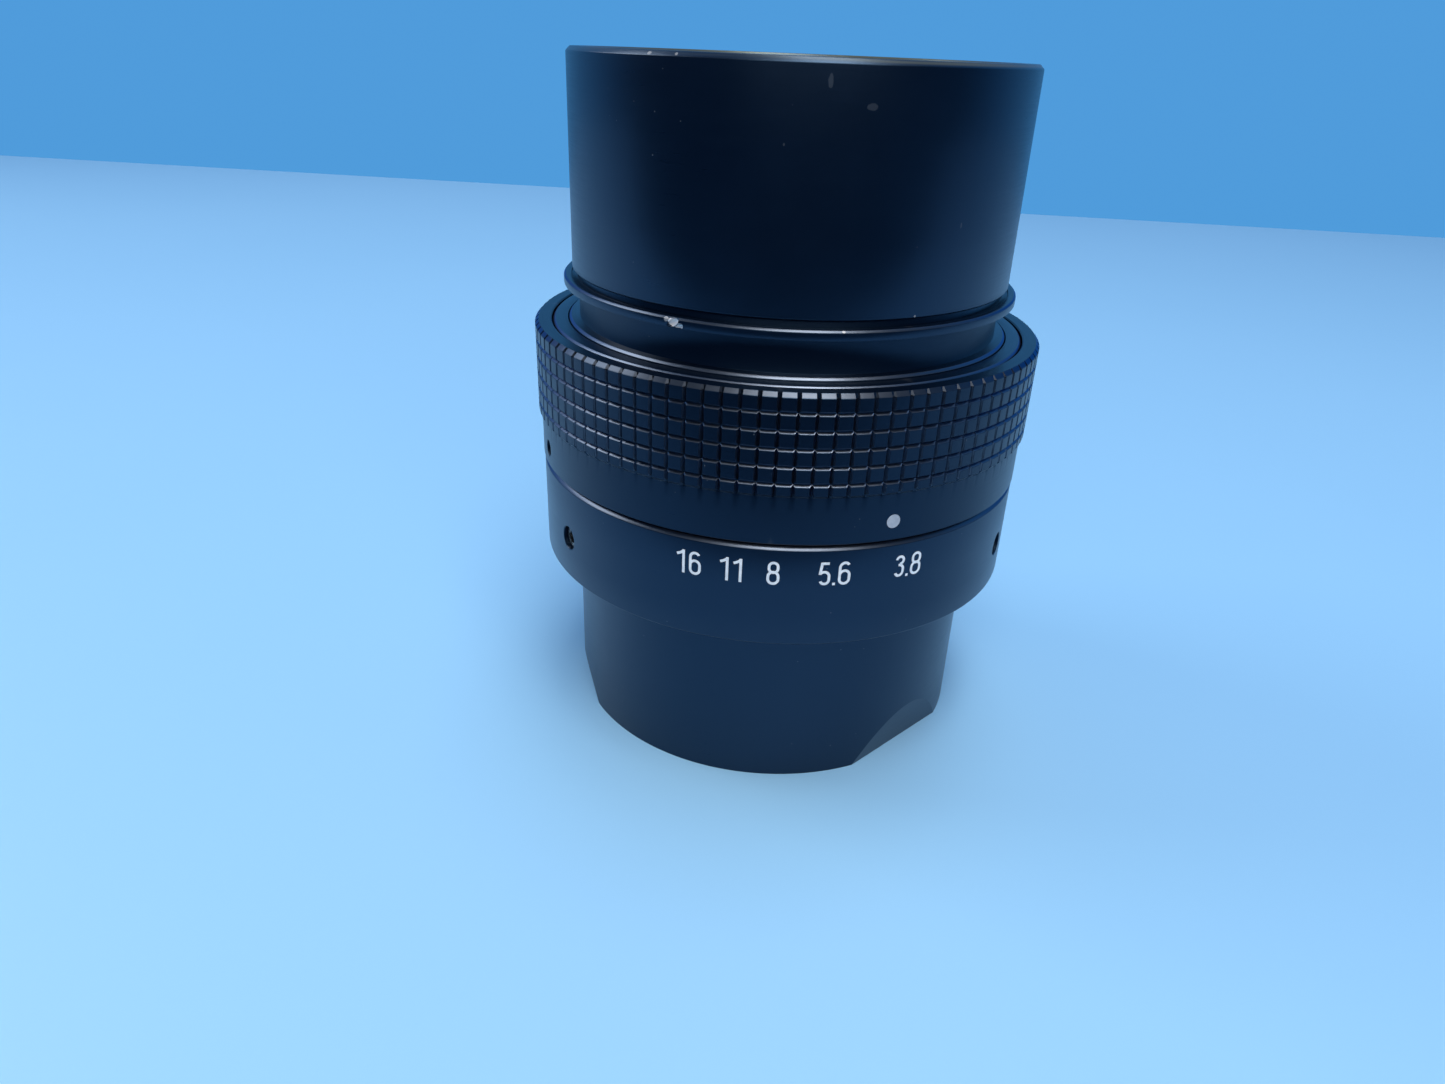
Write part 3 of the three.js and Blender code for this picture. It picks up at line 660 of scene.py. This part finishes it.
def aperture_ring():
    counterbore = SHOULDER_EDGE + 0.2 * MM
    land = BODY_HIGH - 0.3 * MM
    knurl_low = FIRST_ROW - (ROWS - 1) * ROW_PITCH - 1.29 * MM
    outline = [
        (RING_BORE, RING_LOW), (BAND - 0.12 * MM, RING_LOW), (BAND, RING_LOW + 0.12 * MM),
        (BAND, RING_LOW + 1.2 * MM), (BAND, RING_LOW + 3.8 * MM), (BAND, knurl_low - 0.8 * MM),
        (BAND, knurl_low - 0.4 * MM), (KNURL, knurl_low)]
    bottoms = []
    for row in reversed(range(ROWS)):
        middle = FIRST_ROW - row * ROW_PITCH
        bottoms.append(middle)
        outline += [(KNURL, middle - ROW_HALF), (KNURL - ROW_DEPTH, middle), (KNURL, middle + ROW_HALF)]
    chamfer = 0.5 * MM
    outline += [
        (KNURL, RING_HIGH - chamfer), (KNURL - chamfer, RING_HIGH), (counterbore + 0.15 * MM, RING_HIGH),
        (counterbore, RING_HIGH - 0.15 * MM), (counterbore, land), (RING_BORE, land)]
    ring = turn_ring("aperture_ring_shell", outline, GROOVES * PER_PITCH)
    edit(ring)
    floor = KNURL - GROOVE_DEPTH

    def groove_bottom(v, radius, bottom, top):
        here = math.hypot(v.co.x, v.co.y)
        return abs(here - radius) < 0.01 * MM and bottom < v.co.z < top and step_in_pitch(v.co) == 0

    for radius in (KNURL, KNURL - ROW_DEPTH, KNURL - chamfer):
        pick(ring, lambda v: groove_bottom(v, radius, knurl_low - 0.01 * MM, RING_HIGH + MM))
        bpy.ops.transform.resize(value=(floor / radius, floor / radius, 1), center_override=(0, 0, 0))
    pick(ring, lambda v: groove_bottom(v, BAND, knurl_low - 0.5 * MM, knurl_low - 0.3 * MM))
    run_out = (BAND - 0.1 * MM) / BAND
    bpy.ops.transform.resize(value=(run_out, run_out, 1), center_override=(0, 0, 0))

    def beside(v, side):
        here = math.hypot(v.co.x, v.co.y)
        on_row = any(abs(v.co.z - z) < 0.01 * MM for z in bottoms)
        on_top = v.co.z > RING_HIGH - 0.01 * MM and here > KNURL - chamfer - 0.05 * MM
        return (on_row or on_top) and here > floor and step_in_pitch(v.co) == side % PER_PITCH

    mitre = math.radians(0.45)
    for side in (1, -1):
        pick(ring, lambda v: beside(v, side))
        bpy.ops.transform.rotate(value=side * mitre, orient_axis="Z", center_override=(0, 0, 0))
    start()
    for index in (1, 2):
        node = f"ring_screw_{index}"
        middle = (low(node) + high(node)) / 2
        carve(ring, point_out(screw_hole_cutter(1.03 * MM, BAND), azimuth_of(node), middle))
    smooth(ring, 24)
    return put(ring, "aperture_control", "black_anodised", KNURLED, "aperture_ring")


# ---------- paint ----------
PEN = 0.108
PAINT_SKIN = 0.02 * MM
PAINT_ROOT = 0.06 * MM
NUMBER_HEIGHT = 3.02 * MM
NUMBER_MIDDLE = 33.05 * MM
DOT_RADIUS = 0.85 * MM
DOT_MIDDLE = 39.2 * MM


def stroke(name, x, y, heading, *moves):
    """A flat stroke of even width on the XY plane, drawn edge by edge.

    A move is ("go", length) or ("turn", radius, degrees), and positive turns go left. Lengths are in
    number heights.
    """
    start()
    angle = math.radians(heading)
    bpy.ops.mesh.primitive_plane_add(size=PEN, location=(x, y, 0), rotation=(0, 0, angle))
    piece = settle(named(name))
    edit(piece)
    ahead = Vector((math.cos(angle), math.sin(angle), 0))
    place = Vector((x, y, 0))
    pick(piece, lambda v: (v.co - place).dot(ahead) > 0)
    bpy.ops.mesh.delete(type="VERT")
    bpy.ops.mesh.select_all(action="SELECT")
    bpy.ops.transform.translate(value=ahead * (PEN / 2))
    for kind, *sizes in moves:
        ahead = Vector((math.cos(angle), math.sin(angle), 0))
        side = Vector((-math.sin(angle), math.cos(angle), 0))
        if kind == "go":
            bpy.ops.mesh.extrude_region_move(TRANSFORM_OT_translate={"value": ahead * sizes[0]})
            place = place + ahead * sizes[0]
            continue
        radius, turn = sizes
        centre = place + side * math.copysign(radius, turn)
        swing = math.radians(turn)
        steps = max(3, round(abs(turn) / 12))
        bpy.ops.mesh.spin(steps=steps, angle=-swing, center=centre, axis=(0, 0, 1))
        angle += swing
        side = Vector((-math.sin(angle), math.cos(angle), 0))
        place = centre - side * math.copysign(radius, turn)
    bpy.ops.mesh.select_all(action="SELECT")
    bpy.ops.mesh.remove_doubles(threshold=0.002)
    start()
    return piece


def bowl(name, left, right, bottom, top):
    """A closed upright oval with straight sides, given by the middle of its pen line."""
    radius = (right - left) / 2
    straight = top - bottom - 2 * radius
    return stroke(name, right, bottom + radius, 90, ("go", straight), ("turn", radius, 180),
                  ("go", straight), ("turn", radius, 180))


NEAR = PEN / 2
FAR_UP = 1 - PEN / 2


def one():
    return 0.31, [stroke("stem", 0.31 - NEAR, 0, 90, ("go", 1.0)),
                  stroke("flag", 0.31 - NEAR, 0.95, 222, ("go", 0.05), ("turn", 0.5, -22), ("go", 0.08))]


def three():
    upper = [("turn", 0.155, -80), ("turn", 0.155, -90), ("turn", 0.155, -90)]
    lower = [("go", 0.03), ("turn", 0.19, -90), ("go", 0.115), ("turn", 0.165, -165)]
    return 0.45, [stroke("upper", 0.075, 0.79, 80, *upper), stroke("lower", 0.17, 0.56, 0, *lower)]


def five():
    hook = [("turn", 0.195, -145), ("go", 0.15), ("turn", 0.17, -160)]
    return 0.46, [stroke("bar", 0.41, FAR_UP, 180, ("go", 0.29)),
                  stroke("stem", 0.135, 0.99, 263, ("go", 0.52)), stroke("bowl", 0.075, 0.50, 55, *hook)]


def six():
    width = 0.49
    radius = (width - PEN) / 2
    spine = [("go", FAR_UP - radius - 0.3), ("turn", radius, -90), ("turn", radius * 0.9, -62)]
    return width, [bowl("bowl", NEAR, width - NEAR, NEAR, 0.61), stroke("spine", NEAR, 0.3, 90, *spine)]


def eight():
    return 0.5, [bowl("lower", NEAR, 0.5 - NEAR, NEAR, 0.55),
                 bowl("upper", NEAR + 0.025, 0.475 - NEAR, 0.53, FAR_UP)]


def point():
    return PEN, [stroke("point", NEAR, 0, 90, ("go", PEN))]


# each sign's strokes, and the gaps between signs in number heights
GLYPHS = {"1": one, "3": three, "5": five, "6": six, "8": eight, ".": point}
GAPS = {"16": 0.175, "11": 0.21, "5.": 0.12, ".6": 0.1, "3.": 0.1, ".8": 0.08}


def wrap_round(piece, radius, azimuth, middle):
    """Bends a flat mark round the axis: its X runs along the azimuth, its Y upwards, its Z outwards."""
    for v in piece.data.vertices:
        x, y, z = v.co
        v.co = around(radius + z, azimuth + math.degrees(x / radius), middle + y)
    edit(piece)
    bpy.ops.mesh.select_all(action="SELECT")
    bpy.ops.mesh.normals_make_consistent(inside=False)
    start()


def number(text, azimuth):
    """One engraved and filled number, its strokes joined to one body."""
    pieces = []
    x = 0.0
    for before, sign in zip(" " + text, text):
        x += GAPS.get(before + sign, 0.0)
        width, strokes = GLYPHS[sign]()
        for i, part in enumerate(strokes):
            part.data.transform(Matrix.Translation((x, -0.5, 0)))
            part.data.transform(Matrix.Scale(NUMBER_HEIGHT, 4))
            modify(part, "SOLIDIFY", thickness=PAINT_SKIN + PAINT_ROOT + i * 0.002 * MM, offset=0)
        for part in strokes[1:]:
            modify(strokes[0], "BOOLEAN", operation="UNION", object=part, solver="EXACT")
            bpy.data.objects.remove(part)
        pieces.append(strokes[0])
        x += width
    start()
    for piece in pieces:
        piece.select_set(True)
    bpy.context.view_layer.objects.active = pieces[0]
    if len(pieces) > 1:
        bpy.ops.object.join()
    mark = named("number_" + text.replace(".", "_"))
    lift = (PAINT_SKIN - PAINT_ROOT) / 2
    mark.data.transform(Matrix.Translation((-x * NUMBER_HEIGHT / 2, 0, lift)))
    wrap_round(mark, SCALE, azimuth, NUMBER_MIDDLE)
    return put(mark, "root", "white_paint", PAINT)


def index_dot():
    """The painted dot that the numbers are read against."""
    start()
    bpy.ops.mesh.primitive_circle_add(vertices=48, radius=DOT_RADIUS, fill_type="NGON")
    dot = settle(named("index_dot"))
    edit(dot)
    bpy.ops.mesh.select_all(action="SELECT")
    for _ in range(3):
        bpy.ops.mesh.inset(thickness=0.2 * MM)
    start()
    modify(dot, "SOLIDIFY", thickness=PAINT_SKIN + PAINT_ROOT, offset=0)
    dot.data.transform(Matrix.Translation((0, 0, (PAINT_SKIN - PAINT_ROOT) / 2)))
    wrap_round(dot, BAND, DOT_AZIMUTH, DOT_MIDDLE)
    return put(dot, "aperture_control", "white_paint", DOT_PAINT)


# ---------- screws ----------
def set_screw(name, node, radius, key, body):
    """A headless screw with a hexagon socket, just under the surface of its ring."""
    head = (SCALE if body == "root" else BAND) - 0.55 * MM
    tip = head - 2.0 * MM
    screw = turn_solid(name, [
        (0.4 * radius, tip), (0.8 * radius, tip), (radius, tip + 0.3 * MM), (radius, head - 0.2 * MM),
        (radius - 0.2 * MM, head), (0.3 * radius, head)], 48)
    start()
    bpy.ops.mesh.primitive_cylinder_add(vertices=6, radius=key, depth=2.4 * MM, location=(0, 0, head))
    carve(screw, settle(bpy.context.object))
    point_out(screw, azimuth_of(node), (low(node) + high(node)) / 2)
    smooth(screw)
    return put(screw, body, "screw_steel", SCREW, node)


# ---------- optics ----------
def sag(curve, height):
    """Depth of a spherical surface of a given radius at a height above the axis."""
    return curve - math.sqrt(curve * curve - height * height)


def lens_element(prefix, name, vertex, end, offset, rim, outer, inner, thick, flat=None):
    """One glass, turned from its outer vertex round its rim to its inner vertex, in millimetres.

    Outer and inner are the radii of its two surfaces. Flat is where a flat rim begins on the inner one.
    """
    steps = 18
    flat = flat or rim
    heights = [rim * (i + 0.35) / (steps + 0.35) for i in range(steps + 1)]
    outline = [(h, sag(outer, h)) for h in heights]
    if flat < rim:
        outline.append((rim, thick + sag(inner, flat)))
    outline += [(h * flat / rim, thick + sag(inner, h * flat / rim)) for h in reversed(heights)]
    placed = [(h * MM, (vertex + end * (offset + depth)) * MM) for h, depth in outline]
    node = f"{prefix}_{name}"
    glass = turn_solid(node + "_glass", placed, 128)
    smooth(soften(glass, 0.1 * MM, 2, 40), 30)
    return put(glass, "root", "coated_glass", GLASS, node)


def optical_half(prefix, vertex, end):
    """Cell, three glasses, spacer and retaining ring; depths run from the outer vertex to the iris."""
    lens_element(prefix, "element", vertex, end, 0, 22, 52, 160, 7)
    lens_element(prefix, "doublet_outer", vertex, end, 8.1, 19.5, 33, 150, 7.9)
    lens_element(prefix, "doublet_inner", vertex, end, 16.05, 19.5, 150, 20, 2.75, 15.5)

    def placed(outline):
        return [(r * MM, (vertex + end * depth) * MM) for r, depth in outline]

    cell = turn_ring(f"{prefix}_cell_shell", placed([
        (22.15, 0.6), (24.2, 0.6), (24.5, 0.9), (24.5, 27.4), (16.2, 27.4), (16.2, 26.4), (19.65, 26.4),
        (19.65, 14.1), (22.15, 14.1)]), 192)
    smooth(soften(cell, 0.05 * MM))
    put(cell, "root", "matt_barrel", MATT, f"{prefix}_cell")
    spacer = turn_ring(f"{prefix}_spacer_shell", placed([
        (18.6, 8.6), (22, 8.6), (22, 13.7), (18.6, 13.7)]), 192)
    smooth(soften(spacer, 0.05 * MM))
    put(spacer, "root", "matt_barrel", MATT, f"{prefix}_spacer")
    retainer = turn_ring(f"{prefix}_retaining_ring_shell", placed([
        (20.2, 3.9), (20.4, 1.7), (22.05, 1.7), (22.05, 4.7)]), 192)
    soften(retainer, 0.08 * MM)
    for azimuth in (0, 180):
        start()
        bpy.ops.mesh.primitive_cube_add(size=1, location=(21.4 * MM, 0, (vertex + end * 1.9) * MM),
                                        scale=(4 * MM, 1.4 * MM, 1.4 * MM))
        slot = settle(bpy.context.object)
        slot.data.transform(turned(azimuth))
        carve(retainer, slot)
    smooth(retainer)
    put(retainer, "root", "black_anodised", ANODISED, f"{prefix}_retaining_ring")


# ---------- carried-over pieces ----------
def finish_frame_nodes():
    """Gives every CAD node the finish of its slot."""
    finishes = {"matt_barrel": MATT, "brass": BRASS, "screw_steel": SCREW, "bright_steel": BRIGHT,
                "blade_steel": BLADE, "black_anodised": ANODISED, "coated_glass": GLASS}
    for part in frame["record"]["subparts"]:
        node = frame["nodes"][part["node"]]
        node.data.materials.clear()
        node.data.materials.append(finishes[part["material_slot"]])


# ---------- table, light and camera ----------
TABLE_BACK = 0.525
TABLE_FRONT = -0.125
TABLE_WIDTH = 1.7
TABLE_TURN = -3.7
WARM = (1.0, 0.93, 0.86)
BACKDROP_NEAR = (0.02, 0.06, 0.12, 1)
BACKDROP_FAR = (0.08, 0.33, 0.71, 1)
CAMERA_PLACE = (0, -130.5 * MM, 86.56 * MM)
CAMERA_LENS = 24.28
CAMERA_PITCH, CAMERA_ROLL, CAMERA_YAW = (math.radians(a) for a in (26.96, 2.32, -3.15))


def table():
    start()
    bpy.ops.mesh.primitive_plane_add(size=1)
    top = settle(named("table"))
    top.data.transform(Matrix.Translation((0, (TABLE_BACK + TABLE_FRONT) / 2, 0))
                       @ Matrix.Diagonal((TABLE_WIDTH, TABLE_BACK - TABLE_FRONT, 1, 1)))
    top.data.transform(Matrix.Rotation(math.radians(TABLE_TURN), 4, "Z"))
    top.data.materials.append(pale_table())


def area_light(name, place, aim, size, power):
    data = bpy.data.lights.new(name, "AREA")
    data.shape = "RECTANGLE"
    data.size, data.size_y = size
    data.energy = power
    data.color = WARM
    lamp = bpy.data.objects.new(name, data)
    lamp.location = place
    lamp.rotation_euler = (Vector(aim) - Vector(place)).to_track_quat("-Z", "Y").to_euler()
    bpy.context.scene.collection.objects.link(lamp)


def lights():
    """A soft studio with a blue backdrop: two boxes overhead, one at the left, a weak one in front."""
    world = bpy.data.worlds.new("studio")
    world.use_nodes = True
    nodes = world.node_tree.nodes
    links = world.node_tree.links
    place = nodes.new("ShaderNodeTexCoord")
    split = nodes.new("ShaderNodeSeparateXYZ")
    fade = nodes.new("ShaderNodeMapRange")
    fade.interpolation_type = "SMOOTHSTEP"
    fade.inputs["From Min"].default_value = -0.3
    fade.inputs["From Max"].default_value = 0.5
    tone = nodes.new("ShaderNodeMix")
    tone.data_type = "RGBA"
    tone.inputs[6].default_value = BACKDROP_NEAR
    tone.inputs[7].default_value = BACKDROP_FAR
    links.new(place.outputs["Generated"], split.inputs[0])
    links.new(split.outputs["Y"], fade.inputs["Value"])
    links.new(fade.outputs[0], tone.inputs[0])
    links.new(tone.outputs[2], nodes["Background"].inputs[0])
    bpy.context.scene.world = world
    area_light("top_box", (0.12, 0.03, 1.2), (0, 0, 0.05), (0.7, 0.34), 5.6)
    area_light("front_box", (0.12, -0.48, 1.08), (0, 0, 0.05), (0.6, 0.46), 7.4)
    area_light("left_box", (-0.75, 0.15, 0.65), (0, 0, 0.05), (0.45, 0.45), 3.2)
    area_light("front_fill", (0.1, -0.8, 0.62), (0, 0, 0.04), (1.0, 0.5), 3.4)


def camera():
    data = bpy.data.cameras.new("camera")
    data.sensor_width = 36
    data.lens = CAMERA_LENS
    data.clip_start = 0.01
    eye = bpy.data.objects.new("camera", data)
    ahead = Vector((math.sin(CAMERA_YAW), math.cos(CAMERA_YAW), 0))
    forward = ahead * math.cos(CAMERA_PITCH) - Vector((0, 0, math.sin(CAMERA_PITCH)))
    level = Vector((math.cos(CAMERA_YAW), -math.sin(CAMERA_YAW), 0))
    upright = level.cross(forward)
    right = math.cos(CAMERA_ROLL) * level + math.sin(CAMERA_ROLL) * upright
    up = math.cos(CAMERA_ROLL) * upright - math.sin(CAMERA_ROLL) * level
    turn = Matrix((right, up, -forward)).transposed()
    eye.matrix_world = Matrix.Translation(CAMERA_PLACE) @ turn.to_4x4()
    bpy.context.scene.collection.objects.link(eye)
    bpy.context.scene.camera = eye


camera()
finish_frame_nodes()
front_tube()
scale_ring()
shoulder_ring()
mount_flange()
rear_barrel()
aperture_ring()
for text, azimuth in SCALE_MARKS.items():
    number(text, azimuth)
index_dot()
for index in (1, 2, 3):
    set_screw(f"scale_set_screw_{index}", f"scale_screw_{index}", 1.5 * MM, 0.87 * MM, "root")
for index in (1, 2):
    set_screw(f"ring_set_screw_{index}", f"ring_screw_{index}", 1.0 * MM, 0.52 * MM, "aperture_control")
optical_half("front", 8.5, 1)
optical_half("rear", 72.7, -1)
table()
lights()
bpy.context.scene.view_settings.view_transform = "Standard"
